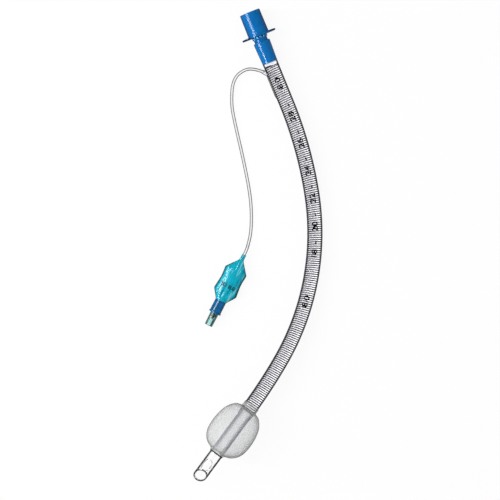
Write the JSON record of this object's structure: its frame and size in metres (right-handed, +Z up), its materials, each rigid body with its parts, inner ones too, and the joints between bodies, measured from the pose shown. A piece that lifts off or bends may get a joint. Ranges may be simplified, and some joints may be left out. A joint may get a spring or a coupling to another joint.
{
  "type": "endotracheal tube",
  "caption": "Clear wire-reinforced endotracheal tube with blue connector, inflated cuff, inflation line, pilot balloon and valve.",
  "frame": {"origin": "middle of the footprint of the tube, connector and cuff, on the table", "axes": "+Z up from the table; +Y along the tube's length, towards the connector; +X towards the outside of the bend"},
  "size_m": [0.0924, 0.3381, 0.0335],
  "materials": {
    "connector_blue": "gloss",
    "clear_pvc": "gloss",
    "wire_steel": "polished",
    "cuff_film": "gloss",
    "line_pvc": "gloss",
    "balloon_teal": "gloss",
    "sleeve_blue": "gloss",
    "valve_green": "gloss",
    "plunger_amber": "satin",
    "seal_rubber": "matte",
    "spring_steel": "polished"
  },
  "bodies": {
    "tube": {"connector": "connector_blue", "tracheal_tube": "clear_pvc", "reinforcing_wire": "wire_steel", "cuff": "cuff_film", "inflation_line": "line_pvc", "pilot_balloon": "balloon_teal", "valve_sleeve": "sleeve_blue", "valve_body": "valve_green", "valve_spring": "spring_steel"},
    "plunger": {"valve_plunger": "plunger_amber", "valve_seal": "seal_rubber"}
  },
  "joints": [
    {"name": "plunger_slide", "type": "slide", "parent": "tube", "child": "plunger", "axis": [0.454, 0.891, 0], "range_m": [0, 0.0015], "stiffness_N_per_m": 300, "springref_m": -0.002, "deforming": ["valve_spring"]}
  ]
}
